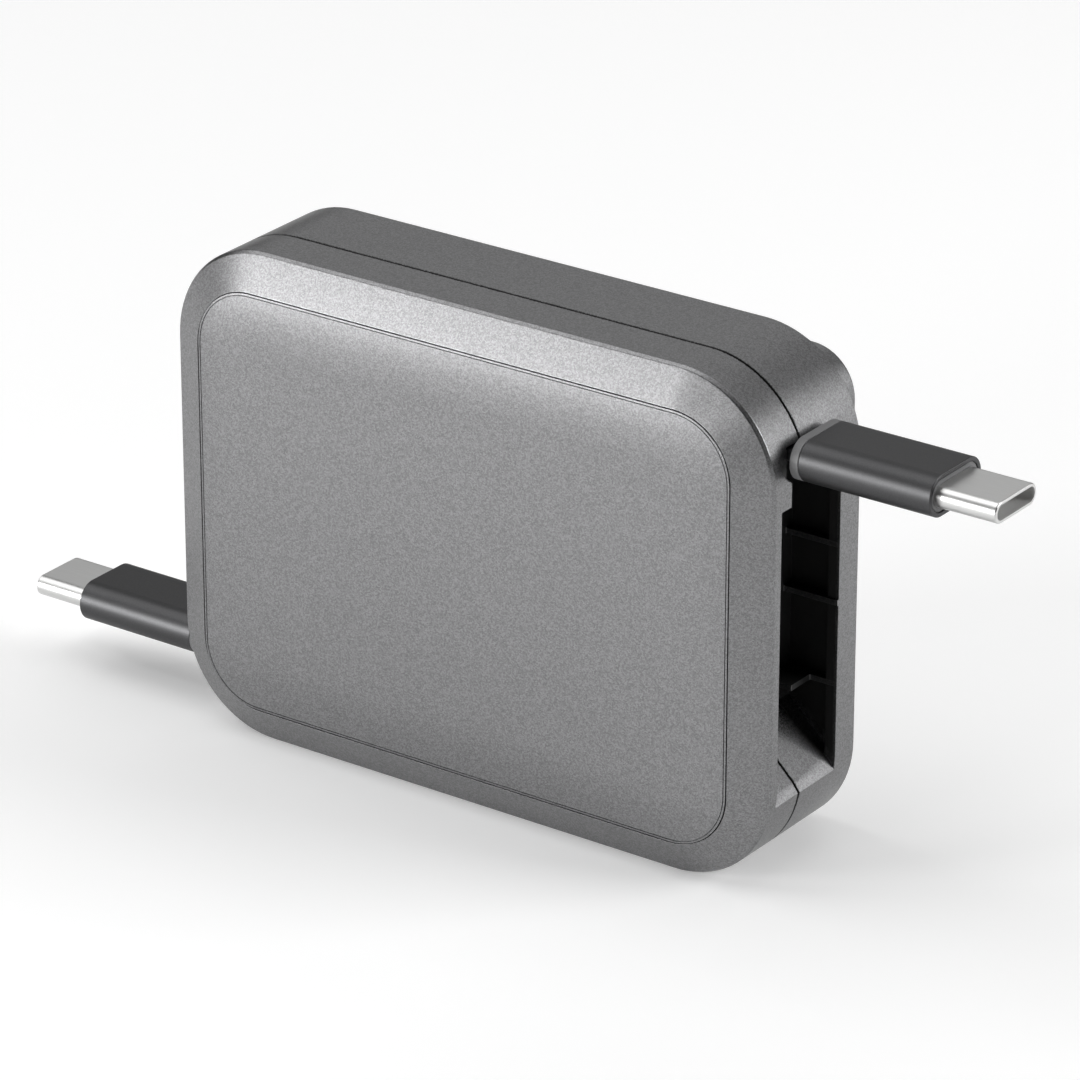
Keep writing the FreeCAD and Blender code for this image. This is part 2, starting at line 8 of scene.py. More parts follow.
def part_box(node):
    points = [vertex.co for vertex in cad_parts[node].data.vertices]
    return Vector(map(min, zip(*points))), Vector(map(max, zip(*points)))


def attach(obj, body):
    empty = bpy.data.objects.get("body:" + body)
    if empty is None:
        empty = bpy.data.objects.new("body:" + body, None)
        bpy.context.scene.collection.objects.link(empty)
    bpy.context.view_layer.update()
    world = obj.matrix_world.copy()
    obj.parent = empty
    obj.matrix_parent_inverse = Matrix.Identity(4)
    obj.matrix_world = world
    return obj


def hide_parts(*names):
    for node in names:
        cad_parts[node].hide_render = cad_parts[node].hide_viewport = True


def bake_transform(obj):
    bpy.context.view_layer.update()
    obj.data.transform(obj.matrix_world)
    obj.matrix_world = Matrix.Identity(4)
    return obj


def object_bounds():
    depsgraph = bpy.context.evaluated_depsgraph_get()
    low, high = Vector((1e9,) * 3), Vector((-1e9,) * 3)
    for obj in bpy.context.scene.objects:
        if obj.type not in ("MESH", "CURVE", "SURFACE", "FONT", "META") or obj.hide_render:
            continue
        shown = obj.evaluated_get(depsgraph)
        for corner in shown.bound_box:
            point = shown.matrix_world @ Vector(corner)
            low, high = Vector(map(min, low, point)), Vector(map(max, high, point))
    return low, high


# Dresses the imported retractable charging cable, measures its parts and sets up its studio.
# Everything is in metres, in the part's frame.

bl_info = {
    "name": "Retractable cable",
    "version": (1, 0, 0),
    "blender": (4, 5, 0),
    "location": "3D View > Sidebar > Cable",
    "description": "Finishes the case, plugs and cable over their packed solids",
    "category": "Object",
}

MM = 0.001
SIDES = ("right", "left")

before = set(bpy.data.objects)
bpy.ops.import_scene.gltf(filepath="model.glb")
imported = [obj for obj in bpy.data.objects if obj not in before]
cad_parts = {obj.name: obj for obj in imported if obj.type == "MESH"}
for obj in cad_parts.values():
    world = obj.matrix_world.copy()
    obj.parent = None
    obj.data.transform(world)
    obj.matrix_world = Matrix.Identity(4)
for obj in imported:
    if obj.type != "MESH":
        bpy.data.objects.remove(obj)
packed_low, packed_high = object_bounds()

shell_low, shell_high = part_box("front_shell")
rear_low, rear_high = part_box("rear_shell")
panel_low, panel_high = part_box("front_panel")
cover_low, cover_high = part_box("rear_cover")
sleeve_low, sleeve_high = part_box("right_plug_sleeve")
body_low, body_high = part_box("right_plug_body")
shell_tip_low, shell_tip_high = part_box("right_connector_shell")
ribbon_low, ribbon_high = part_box("right_cable_end")
reel_low, reel_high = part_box("cable_winding")
axis_z = (reel_low.z + reel_high.z) / 2
turn_centre = Vector((0, 0, axis_z))
case_middle = Vector((0, 0, (shell_low.z + shell_high.z) / 2))

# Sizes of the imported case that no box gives. The heights are those of the right bay.
CASE_CORNER = 12.7 * MM
PANEL_CLEARANCE = 0.2 * MM
BAY_LIP = 10.8 * MM
RAMP_SLOPE = 0.97
RIB_HEIGHTS = (38.1 * MM, 31.2 * MM, 21.2 * MM)
RIB_HALF = 0.33 * MM
bay_front = shell_low.y + 3.5 * MM
bay_rear = rear_high.y - 2.8 * MM

# Deeper in the bays the ramp and walls turn black: bare plastic and painted shade, darker away from the lip
# Where the paint ends along the ramp, counted from the bay's lip, and how far that edge is frayed
RAMP_PAINTED = 7.3 * MM
RAMP_BARE_AND_SHADED = 11.8 * MM
RAMP_FRAY = 3.5 * MM

# The black line along the seam between the two shells is painted shade
# Where it starts beside the seam, counted from the seam's middle, and how far that edge is frayed
SEAM_SHADED = 0.13 * MM
SEAM_PAINTED = 0.17 * MM
SEAM_FRAY = 0.16 * MM

# The paint covers the outside, down to SKIN, and the ramp, up to SKIN over it. It is gone at SKIN_END inwards
# and at WALL_BARE_AND_SHADED over the ramp, where the walls show black that is bare plastic and painted shade.
# BAY_EDGE is the width of its edge at the bay's front and rear.
SKIN = 0.2 * MM
SKIN_END = 0.5 * MM
WALL_BARE_AND_SHADED = 1.6 * MM
BAY_EDGE = 0.3 * MM

# A painted highlight on the front edges of the ribs, given as a share of the lacquer, and how far from
# straight ahead these may face
RIB_HIGHLIGHT = 0.5
RIB_FACING = 0.3

# How a flat rectangle is turned to face that way
TO_FRONT = (math.pi / 2, 0, 0)
TO_BACK = (-math.pi / 2, 0, 0)
TO_RIGHT = (math.pi / 2, 0, math.pi / 2)

# Points closer than this are one, and a normal with this much along an axis faces along it
MERGE = 0.0005 * MM
SQUARE_ON = 0.99

# Each soft light's name, which is also its setting's, its direction from the object and its width
LIGHTS = (
    ("over_left", (-0.53, -0.14, 0.80), 0.7),
    ("low", (-0.60, -0.79, 0.14), 0.25),
    ("low_front", (-0.15, -0.98, 0.14), 0.25),
    ("side", (0.85, 0.45, 0.40), 0.5),
    ("overhead", (0.0, 0.1, 1.0), 0.8),
    ("behind", (-0.45, 0.75, 0.50), 0.6),
    ("back_top", (0.15, 0.55, 0.80), 0.6),
)
LIGHT_DISTANCE = 0.9
POOL_PLACE = Vector((-0.25, -0.34, 0.55))
POOL_AIM = Vector((-0.085, -0.115, 0))
FLOOR_WIDTH = 8
SENSOR_WIDTH_MM = 36


def linear(hex_colour):
    """Linear red, green and blue of a colour written as sRGB hex."""
    parts = [int(hex_colour[i:i + 2], 16) / 255 for i in (1, 3, 5)]
    return tuple(p / 12.92 if p <= 0.04045 else ((p + 0.055) / 1.055) ** 2.4 for p in parts)


def length(name, description, default):
    """A length setting, in metres."""
    return FloatProperty(
        name=name, description=description, default=default, min=0, subtype="DISTANCE", unit="LENGTH",
    )


def colour(name, description, default):
    """A colour setting, from its sRGB hex value."""
    return FloatVectorProperty(
        name=name, description=description, default=linear(default), min=0, max=1, size=3, subtype="COLOR",
    )


def strength(name, description, default):
    """A setting for how bright something is."""
    return FloatProperty(name=name, description=description, default=default, min=0)


class CaseSettings(bpy.types.PropertyGroup):
    """Sizes and colours of the case."""
    paint: colour("Paint", "Colour of the case's paint", "#808081")
    # Black of the bare plastic, which deep in the bays and along the seam also stands as painted shade
    bare_and_shade: colour("Bare plastic", "Colour of the black plastic that the paint leaves bare", "#141414")
    flake: length("Flake", "Width of the sparkling flakes in the paint", 0.14 * MM)
    soft_edge: length("Soft edge", "Width that the moulded edges are rounded over", 0.08 * MM)
    panel_corner: length("Panel corner", "Radius of the front panel's corners", 7.5 * MM)
    panel_groove_inset: length("Groove inset", "From the panel's edge to its fine groove", 0.25 * MM)
    panel_groove: length("Groove", "Width and depth of the panel's fine groove", 0.12 * MM)
    panel_gap: length("Panel gap", "Space between the panel and the frame round it", 0.09 * MM)
    pillow: length("Pillow", "Width over which the panel curves down to its edge", 6.6 * MM)
    cover_corner: length("Cover corner", "Radius of the rear cover's corners", 5.7 * MM)
    cover_edge: length("Cover edge", "Radius of the rear cover's edge", 0.6 * MM)
    wall: length("Wall", "Thickness of the rear cover's wall", 1.6 * MM)


class PlugSettings(bpy.types.PropertyGroup):
    """Sizes and colours of the two plugs."""
    sleeve: colour("Sleeve", "Colour of the anodised sleeve", "#4E4E4F")
    sleeve_wall: length("Sleeve wall", "Thickness of the sleeve", 0.55 * MM)
    sleeve_edge: length("Sleeve edge", "Radius of the sleeve's rims", 0.12 * MM)
    moulding: colour("Moulding", "Colour of the plug's moulded body", "#6E6E6F")
    plating: colour("Plating", "Colour of the connector's plating", "#D2D2D1")
    shell_wall: length("Shell wall", "Thickness of the connector's metal", 0.28 * MM)
    nose: length("Nose", "Radius of the outer edge of the connector's nose", 0.18 * MM)
    nose_rim: length("Nose rim", "Width of the flat rim round the connector's mouth", 0.2 * MM)
    shadow_gap: length("Shadow gap", "Fine groove round the insert, inside the sleeve", 0.09 * MM)


class CableSettings(bpy.types.PropertyGroup):
    """Sizes and colours of the flat cable and its reel."""
    jacket: colour("Jacket", "Colour of the cable's jacket", "#3A3B3D")
    edge: length("Edge", "Radius of the flat cable's long edges", 0.45 * MM)
    thickness: length("Thickness", "Thickness of the flat cable", 1.3 * MM)
    turn_gap: length("Turn gap", "Space between neighbouring turns on the reel", 0.04 * MM)
    half_turns: IntProperty(
        name="Half turns", description="Half turns of each strand on the reel", default=9, min=1,
    )
    steps: IntProperty(name="Steps", description="Straight steps in half a turn", default=24, min=4)


class StageSettings(bpy.types.PropertyGroup):
    """The studio: floor, lights and camera."""
    floor: colour("Floor", "Colour of the floor", "#F4F4F4")
    floor_glow: strength("Floor glow", "Light that the floor shows the camera", 0.2)
    far_glow: strength("Far glow", "The same, on the floor far out where the lamps don't reach", 0.75)
    glow_start: length("Glow start", "How far out the floor's glow starts to rise", 0.35)
    glow_end: length("Glow end", "How far out the floor's glow is full", 1.1)
    low: strength("Low", "Brightness of the low light at the front left", 25.0)
    low_front: strength("Low front", "Brightness of the low light in front", 9.5)
    over_left: strength("Over left", "Brightness of the light over the left side", 1.9)
    side: strength("Side", "Brightness of the light on the right", 6.7)
    overhead: strength("Overhead", "Brightness of the light overhead", 0.85)
    behind: strength("Behind", "Brightness of the light behind", 0.62)
    back_top: strength("Back top", "Brightness of the light over the back", 0.64)
    pool: strength("Pool", "Power of the lamp that lights the floor in front, in watts", 1.7)
    azimuth: FloatProperty(
        name="Azimuth", description="Where the camera stands round the object",
        default=math.radians(35.583), subtype="ANGLE", unit="ROTATION",
    )
    elevation: FloatProperty(
        name="Elevation", description="How high the camera stands",
        default=math.radians(24.051), subtype="ANGLE", unit="ROTATION",
    )
    distance: length("Distance", "From the camera to what it looks at", 676.86 * MM)
    target: FloatVectorProperty(
        name="Target", description="The point that the camera looks at",
        default=(3.78 * MM, -0.745 * MM, 30.78 * MM), subtype="TRANSLATION", unit="LENGTH",
    )
    lens: FloatProperty(
        name="Lens", description="Focal length in millimetres", default=199.67, subtype="NONE",
    )


# Materials


def new_material(name):
    """An empty material's node tree."""
    material = bpy.data.materials.new(name)
    material.use_nodes = True
    material.node_tree.nodes.clear()
    return material.node_tree


def add_node(tree, kind, settings=None, inputs=None):
    """One node with its settings, and with its sockets set to a value or linked to another node's output."""
    node = tree.nodes.new(kind)
    for name, value in (settings or {}).items():
        setattr(node, name, value)
    for socket, value in (inputs or {}).items():
        if isinstance(value, bpy.types.NodeSocket):
            tree.links.new(value, node.inputs[socket])
        else:
            node.inputs[socket].default_value = value
    return node


def tone(base, factor):
    """A colour made darker or lighter, for a colour socket."""
    return tuple(min(1, part * factor) for part in base) + (1,)


def patterned_skin(tree, pattern, base, shades, relief, shader):
    """Ends a material's tree. The pattern turns the base colour from the first to the second of the shades,
    and stands out by relief, which is its height and how much of that shows."""
    tint = add_node(tree, "ShaderNodeMix", {"data_type": "RGBA"}, {
        "Factor": pattern, "A": tone(base, shades[0]), "B": tone(base, shades[1]),
    })
    raised = add_node(tree, "ShaderNodeBump", {}, {
        "Height": pattern, "Distance": relief[0], "Strength": relief[1],
    })
    skin = add_node(tree, "ShaderNodeBsdfPrincipled", {}, {
        "Base Color": tint.outputs["Result"], "Normal": raised.outputs["Normal"], **shader,
    })
    add_node(tree, "ShaderNodeOutputMaterial", {}, {"Surface": skin.outputs["BSDF"]})


def bare_and_shade_inside(tree, place, facing, speckle):
    """How much black shows instead of the lacquer: 1 inside the bays and the case and in the seam, 0 outside
    and on the near end of the ramps, and a half on the front edges of the ribs. Inside the bays the black is
    bare plastic and painted shade, growing away from the lip; in the seam it is painted shade; and the half on
    the ribs' front edges is a painted highlight. The speckle frays the edges of the zones."""
    # How far a point lies outside the lines that join the middles of the case's four round corners
    middle = add_node(tree, "ShaderNodeVectorMath", {"operation": "SUBTRACT"}, {0: place, 1: case_middle})
    folded = add_node(tree, "ShaderNodeVectorMath", {"operation": "ABSOLUTE"}, {0: middle.outputs[0]})
    corner = (shell_high.x - CASE_CORNER, 0, case_middle.z - CASE_CORNER)
    past = add_node(tree, "ShaderNodeVectorMath", {"operation": "SUBTRACT"}, {
        0: folded.outputs[0], 1: corner,
    })
    past = add_node(tree, "ShaderNodeVectorMath", {"operation": "MAXIMUM"}, {
        0: past.outputs[0], 1: (0, 0, 0),
    })
    past = add_node(tree, "ShaderNodeVectorMath", {"operation": "MULTIPLY"}, {
        0: past.outputs[0], 1: (1, 0, 1),
    })
    reach = add_node(tree, "ShaderNodeVectorMath", {"operation": "LENGTH"}, {
        0: past.outputs[0],
    }).outputs["Value"]

    # The left half is turned on to the right one, so that both bays are read as the right bay
    axes = add_node(tree, "ShaderNodeSeparateXYZ", {}, {0: place}).outputs
    side = add_node(tree, "ShaderNodeMath", {"operation": "SIGN"}, {0: axes["X"]}).outputs[0]
    own = add_node(tree, "ShaderNodeVectorMath", {"operation": "SUBTRACT"}, {
        0: place, 1: turn_centre,
    })
    own = add_node(tree, "ShaderNodeVectorMath", {"operation": "SCALE"}, {
        0: own.outputs[0], "Scale": side,
    })
    own = add_node(tree, "ShaderNodeVectorMath", {"operation": "MULTIPLY"}, {
        0: own.outputs[0], 1: (1, 0, 1),
    }).outputs[0]
    lip = (shell_high.x, 0, BAY_LIP - axis_z)
    along = add_node(tree, "ShaderNodeVectorMath", {"operation": "DISTANCE"}, {
        0: own, 1: lip,
    }).outputs["Value"]
    along = add_node(tree, "ShaderNodeMath", {"operation": "MULTIPLY_ADD"}, {
        0: speckle, 1: RAMP_FRAY, 2: along,
    }).outputs[0]
    above = add_node(tree, "ShaderNodeVectorMath", {"operation": "DOT_PRODUCT"}, {
        0: own, 1: (RAMP_SLOPE, 0, 1),
    }).outputs["Value"]
    ramp = RAMP_SLOPE * lip[0] + lip[2]

    behind = add_node(tree, "ShaderNodeMath", {"operation": "SUBTRACT"}, {0: axes["Y"], 1: rear_low.y})
    off_seam = add_node(tree, "ShaderNodeMath", {"operation": "ABSOLUTE"}, {0: behind.outputs[0]})
    off_seam = add_node(tree, "ShaderNodeMath", {"operation": "MULTIPLY_ADD"}, {
        0: speckle, 1: -SEAM_FRAY, 2: off_seam.outputs[0],
    }).outputs[0]

    # Each row gives how much bare black and painted shade there is before and after a stretch, and None keeps
    # what the rows above it say
    bare_and_shade = 1.0
    for value, start, end, before, after in (
        (along, RAMP_PAINTED, RAMP_BARE_AND_SHADED, 0.0, None),
        (above, ramp + SKIN, ramp + WALL_BARE_AND_SHADED, None, 1.0),
        (reach, CASE_CORNER - SKIN_END, CASE_CORNER - SKIN, None, 0.0),
        (axes["Y"], bay_front - BAY_EDGE, bay_front, 0.0, None),
        (axes["Y"], bay_rear, bay_rear + BAY_EDGE, None, 0.0),
        (off_seam, SEAM_SHADED, SEAM_PAINTED, 1.0, None),
    ):
        bare_and_shade = add_node(tree, "ShaderNodeMapRange", {"interpolation_type": "SMOOTHSTEP"}, {
            "Value": value, "From Min": start, "From Max": end,
            "To Min": bare_and_shade if before is None else before, "To Max": bare_and_shade if after is None else after,
        }).outputs["Result"]

    # Painted highlight: the front-facing edges of the ribs get half the lacquer over the black
    height = add_node(tree, "ShaderNodeSeparateXYZ", {}, {0: own}).outputs["Z"]
    front = add_node(tree, "ShaderNodeSeparateXYZ", {}, {0: facing}).outputs["Y"]
    front = add_node(tree, "ShaderNodeMath", {"operation": "COMPARE"}, {0: front, 1: -1.0, 2: RIB_FACING})
    ribs = 0.0
    for rib in RIB_HEIGHTS:
        edge = add_node(tree, "ShaderNodeMath", {"operation": "COMPARE"}, {
            0: height, 1: rib - axis_z, 2: RIB_HALF,
        }).outputs[0]
        ribs = add_node(tree, "ShaderNodeMath", {"operation": "MAXIMUM"}, {0: edge, 1: ribs}).outputs[0]
    rib_highlight = add_node(tree, "ShaderNodeMath", {"operation": "MULTIPLY"}, {0: ribs, 1: front.outputs[0]})
    return add_node(tree, "ShaderNodeMath", {"operation": "MULTIPLY_ADD"}, {
        0: rib_highlight.outputs[0], 1: -RIB_HIGHLIGHT, 2: bare_and_shade,
    }).outputs[0]


def case_paint(settings):
    """Sprayed aluminium-flake lacquer on black ABS: grey, with a soft sheen and a fine sparkle, and the black
    of bare plastic inside the case. Deep in the bays that black, darker away from the lip, is bare plastic and
    painted shade, along the seam it is painted shade, and the lacquer on the ribs' front edges is a painted
    highlight. The flakes are drawn coarser than they are, so that they show."""
    tree = new_material("flake_lacquer_on_abs")
    surface = add_node(tree, "ShaderNodeTexCoord").outputs
    place = surface["Object"]
    flakes = add_node(tree, "ShaderNodeTexVoronoi", {}, {"Vector": place, "Scale": 1 / settings.flake})
    speckle = add_node(tree, "ShaderNodeSeparateColor", {}, {0: flakes.outputs["Color"]}).outputs
    tint = add_node(tree, "ShaderNodeMix", {"data_type": "RGBA"}, {
        "Factor": speckle["Red"], "A": tone(settings.paint, 0.75), "B": tone(settings.paint, 1.25),
    })
    relief = add_node(tree, "ShaderNodeBump", {}, {
        "Height": speckle["Blue"], "Distance": 0.01 * MM, "Strength": 0.25,
    }).outputs["Normal"]
    lacquer = add_node(tree, "ShaderNodeBsdfPrincipled", {}, {
        "Base Color": tint.outputs["Result"], "Metallic": 1.0, "Roughness": 0.37, "Normal": relief,
    })
    # The black plastic, which inside the bays is bare plastic and painted shade, and in the seam painted shade
    plastic = add_node(tree, "ShaderNodeBsdfPrincipled", {}, {
        "Base Color": tone(settings.bare_and_shade, 1), "Roughness": 0.5, "IOR": 1.5, "Normal": relief,
    })
    bare_and_shade = bare_and_shade_inside(tree, place, surface["Normal"], speckle["Green"])
    skin = add_node(tree, "ShaderNodeMixShader", {}, {
        0: bare_and_shade, 1: lacquer.outputs["BSDF"], 2: plastic.outputs["BSDF"],
    })
    add_node(tree, "ShaderNodeOutputMaterial", {}, {"Surface": skin.outputs[0]})


def anodised_sleeve(settings):
    """Bead-blasted, dark anodised aluminium: a satin metal with a very fine tooth and a broad highlight."""
    tree = new_material("dark_anodised_aluminium")
    place = add_node(tree, "ShaderNodeTexCoord").outputs["Object"]
    blast = add_node(tree, "ShaderNodeTexNoise", {}, {
        "Vector": place, "Scale": 1 / (0.12 * MM), "Detail": 3,
    }).outputs["Fac"]
    patterned_skin(tree, blast, settings.sleeve, (0.7, 1.3), (0.01 * MM, 0.3), {
        "Metallic": 1.0, "Roughness": 0.44,
    })


def connector_plating(settings):
    """Nickel-plated drawn steel: bright, with faint draw lines along the shell, 25 times as long as wide."""
    tree = new_material("nickel_plated_steel")
    place = add_node(tree, "ShaderNodeTexCoord").outputs["Object"]
    stretched = add_node(tree, "ShaderNodeMapping", {}, {"Vector": place, "Scale": (0.04, 1, 1)})
    lines = add_node(tree, "ShaderNodeTexNoise", {}, {
        "Vector": stretched.outputs["Vector"], "Scale": 1 / (0.1 * MM), "Detail": 2,
    }).outputs["Fac"]
    patterned_skin(tree, lines, settings.plating, (0.93, 1.07), (0.001 * MM, 0.1), {
        "Metallic": 1.0, "Roughness": 0.34,
    })


def matt_tin(settings):
    """Matt tin plating on the connector's inside: as pale as the nickel, and nearly without its shine."""
    tree = new_material("matt_tin_plated_steel")
    skin = add_node(tree, "ShaderNodeBsdfPrincipled", {}, {
        "Base Color": tone(settings.plating, 1.0), "Metallic": 0.3, "Roughness": 0.55,
    })
    add_node(tree, "ShaderNodeOutputMaterial", {}, {"Surface": skin.outputs["BSDF"]})


def moulded_plastic(name, base, grain, roughness):
    """Moulded plastic with the spark-eroded tooth of its mould: a colour with a fine grain that wide."""
    tree = new_material(name)
    place = add_node(tree, "ShaderNodeTexCoord").outputs["Object"]
    tooth = add_node(tree, "ShaderNodeTexNoise", {}, {
        "Vector": place, "Scale": 1 / grain, "Detail": 2,
    }).outputs["Fac"]
    patterned_skin(tree, tooth, base, (0.88, 1.12), (0.02 * MM, 0.3), {
        "Roughness": roughness, "IOR": 1.5,
    })


def ringed_metal(name, base, spacing, roughness):
    """Metal with fine rings round the reel's axis, that far apart: turned, stamped or wound from strip. The
    wave's own rings are a tenth of pi apart."""
    tree = new_material(name)
    place = add_node(tree, "ShaderNodeTexCoord").outputs["Object"]
    place = add_node(tree, "ShaderNodeMapping", {}, {"Vector": place, "Location": -turn_centre})
    rings = add_node(tree, "ShaderNodeTexWave", {"wave_type": "RINGS", "rings_direction": "Y"}, {
        "Vector": place.outputs["Vector"], "Scale": math.pi / 10 / spacing,
    }).outputs["Fac"]
    patterned_skin(tree, rings, base, (0.8, 1.1), (0.02 * MM, 0.3), {
        "Metallic": 1.0, "Roughness": roughness,
    })


def solder_mask():
    """Solder mask on glass laminate: glossy green over the faint weave of the glass."""
    tree = new_material("green_solder_mask")
    place = add_node(tree, "ShaderNodeTexCoord").outputs["Object"]
    weave = add_node(tree, "ShaderNodeTexNoise", {}, {"Vector": place, "Scale": 1 / (0.4 * MM)})
    green = linear("#1C5A38")
    tint = add_node(tree, "ShaderNodeMix", {"data_type": "RGBA"}, {
        "Factor": weave.outputs["Fac"], "A": tone(green, 0.85), "B": tone(green, 1.15),
    })
    skin = add_node(tree, "ShaderNodeBsdfPrincipled", {}, {
        "Base Color": tint.outputs["Result"], "Roughness": 0.3, "IOR": 1.5,
    })
    add_node(tree, "ShaderNodeOutputMaterial", {}, {"Surface": skin.outputs["BSDF"]})


def finish_of(name, make, *values):
    """The material of that name, made on its first use."""
    if name not in bpy.data.materials:
        make(*values)
    return bpy.data.materials[name]


def plastic_of(name, base, grain, roughness):
    """A moulded plastic, made on its first use."""
    return finish_of(name, moulded_plastic, name, base, grain, roughness)


def metal_of(name, base, spacing, roughness):
    """A ringed metal, made on its first use."""
    return finish_of(name, ringed_metal, name, base, spacing, roughness)


def jacket_material(settings):
    """Extruded TPE jacket: dark, matt and slightly rubbery, with an even grain."""
    return plastic_of("extruded_tpe_jacket", settings.jacket, 0.3 * MM, 0.6)


def paint_node(node, material):
    """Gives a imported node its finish."""
    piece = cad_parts[node]
    piece.data.materials.clear()
    piece.data.materials.append(material)


# Modelling


def start_piece(name, place, turn, width, height):
    """A flat rectangle, all selected in edit mode: its own X is width wide and its own Y height high."""
    bpy.ops.object.select_all(action="DESELECT")
    bpy.ops.mesh.primitive_plane_add(size=1, location=place, rotation=turn, enter_editmode=True)
    piece = bpy.context.object
    piece.name = name
    bpy.ops.transform.resize(value=(width, height, 1), orient_type="LOCAL")
    return piece


def round_corners(radius, segments):
    """Rounds the corners of the selected outline."""
    bpy.ops.mesh.bevel(offset=radius, segments=segments, affect="VERTICES")


def extrude(direction):
    """Pulls the selected face out along direction and leaves its new end selected."""
    bpy.ops.mesh.extrude_region_move(TRANSFORM_OT_translate={"value": direction})


def close_piece(piece, material, smooth_below):
    """Ends the modelling: merged, facing out, smooth where faces meet below that many degrees, at the origin
    and with its finish. Faces of a few square millimetres are too small for the modifier that shades them
    flat, so it works on the piece a thousand times larger."""
    bpy.ops.mesh.select_all(action="SELECT")
    bpy.ops.mesh.remove_doubles(threshold=MERGE)
    bpy.ops.mesh.normals_make_consistent(inside=False)
    bpy.ops.object.mode_set(mode="OBJECT")
    bpy.ops.object.transform_apply(location=True, rotation=True, scale=True)
    for modifier in list(piece.modifiers):
        bpy.ops.object.modifier_apply(modifier=modifier.name)
    bpy.ops.object.shade_smooth_by_angle(angle=math.radians(smooth_below))
    piece.data.transform(Matrix.Scale(1 / MM, 4))
    flat = piece.modifiers.new("flat_faces", "WEIGHTED_NORMAL")
    flat.keep_sharp = True
    bpy.ops.object.modifier_apply(modifier=flat.name)
    piece.data.transform(Matrix.Scale(MM, 4))
    piece.data.materials.clear()
    piece.data.materials.append(material)


def select_faces(piece, test):
    """Selects the faces whose middle and normal pass the test, in edit mode."""
    bpy.ops.mesh.select_all(action="DESELECT")
    bpy.ops.object.mode_set(mode="OBJECT")
    for face in piece.data.polygons:
        face.select = test(piece.matrix_world @ face.center, piece.matrix_world.to_3x3() @ face.normal)
    bpy.ops.object.mode_set(mode="EDIT")
    bpy.ops.mesh.select_mode(type="FACE")


def other_side_copy(piece, name):
    """A copy of a finished piece, with its own mesh, half a turn round the reel's axis."""
    copy = bpy.data.objects.new(name, piece.data.copy())
    bpy.context.collection.objects.link(copy)
    half_turn = Matrix.Rotation(math.pi, 4, "Y")
    copy.data.transform(Matrix.Translation(turn_centre) @ half_turn @ Matrix.Translation(-turn_centre))
    return copy


def seat_pair(piece, node):
    """The right piece and its copy on the left ride on their plugs and stand for their nodes."""
    pair = (piece, other_side_copy(piece, "left_" + node + "_finished"))
    for side, each in zip(SIDES, pair):
        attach(each, side + "_plug")
        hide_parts(side + "_" + node)


def softened(node, width, material):
    """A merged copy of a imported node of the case, with its sharp edges rounded, that stands for the node."""
    bpy.ops.object.select_all(action="DESELECT")
    piece = bpy.data.objects.new(node + "_finished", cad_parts[node].data.copy())
    bpy.context.collection.objects.link(piece)
    bpy.context.view_layer.objects.active = piece
    piece.select_set(True)
    bpy.ops.object.mode_set(mode="EDIT")
    bpy.ops.mesh.select_all(action="SELECT")
    bpy.ops.mesh.customdata_custom_splitnormals_clear()
    bpy.ops.mesh.remove_doubles(threshold=MERGE)
    bevel = piece.modifiers.new("soft_edges", "BEVEL")
    bevel.width = width
    bevel.segments = 3
    bevel.limit_method = "ANGLE"
    bevel.angle_limit = math.radians(32)
    bevel.use_clamp_overlap = False
    close_piece(piece, material, smooth_below=30)
    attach(piece, "housing")
    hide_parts(node)


class CABLE_OT_shells(bpy.types.Operator):
    """Finishes the two halves of the case"""
    bl_idname = "cable.shells"
    bl_label = "Case shells"

    def execute(self, context):
        case = context.scene.cable_case
        paint = finish_of("flake_lacquer_on_abs", case_paint, case)
        for node in ("front_shell", "rear_shell"):
            softened(node, case.soft_edge, paint)
        return {"FINISHED"}


class CABLE_OT_panel(bpy.types.Operator):
    """Models the crowned front panel with its fine groove"""
    bl_idname = "cable.panel"
    bl_label = "Front panel"

    def execute(self, context):
        case = context.scene.cable_case
        paint = finish_of("flake_lacquer_on_abs", case_paint, case)
        room = 2 * (PANEL_CLEARANCE - case.panel_gap)
        size = panel_high - panel_low
        middle = (panel_low + panel_high) / 2
        seat = Vector((middle.x, panel_high.y, middle.z))
        piece = start_piece("front_panel_finished", seat, TO_FRONT, size.x + room, size.z + room)
        round_corners(case.panel_corner, segments=14)

        # The panel's edge stands back by the lip. A steep step and a slope of about eight degrees lead up
        # from there to the groove.
        lip = 0.2 * MM
        extrude((0, shell_low.y + lip - panel_high.y, 0))
        bpy.ops.mesh.inset(thickness=lip / 4, depth=lip * 6 / 7)
        bpy.ops.mesh.inset(thickness=case.panel_groove_inset - lip / 4, depth=lip / 7)
        for depth in (-case.panel_groove, 0, case.panel_groove):
            bpy.ops.mesh.inset(thickness=case.panel_groove / 3, depth=depth)

        crown_steps = 12
        crown_power = 2.2
        rise = shell_low.y - panel_low.y
        reached = 0
        for step in range(1, crown_steps + 1):
            share = step / crown_steps
            level = rise * (1 - (1 - share) ** crown_power)
            bpy.ops.mesh.inset(thickness=case.pillow / crown_steps, depth=level - reached)
            reached = level
        close_piece(piece, paint, smooth_below=25)
        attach(piece, "housing")
        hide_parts("front_panel")
        return {"FINISHED"}


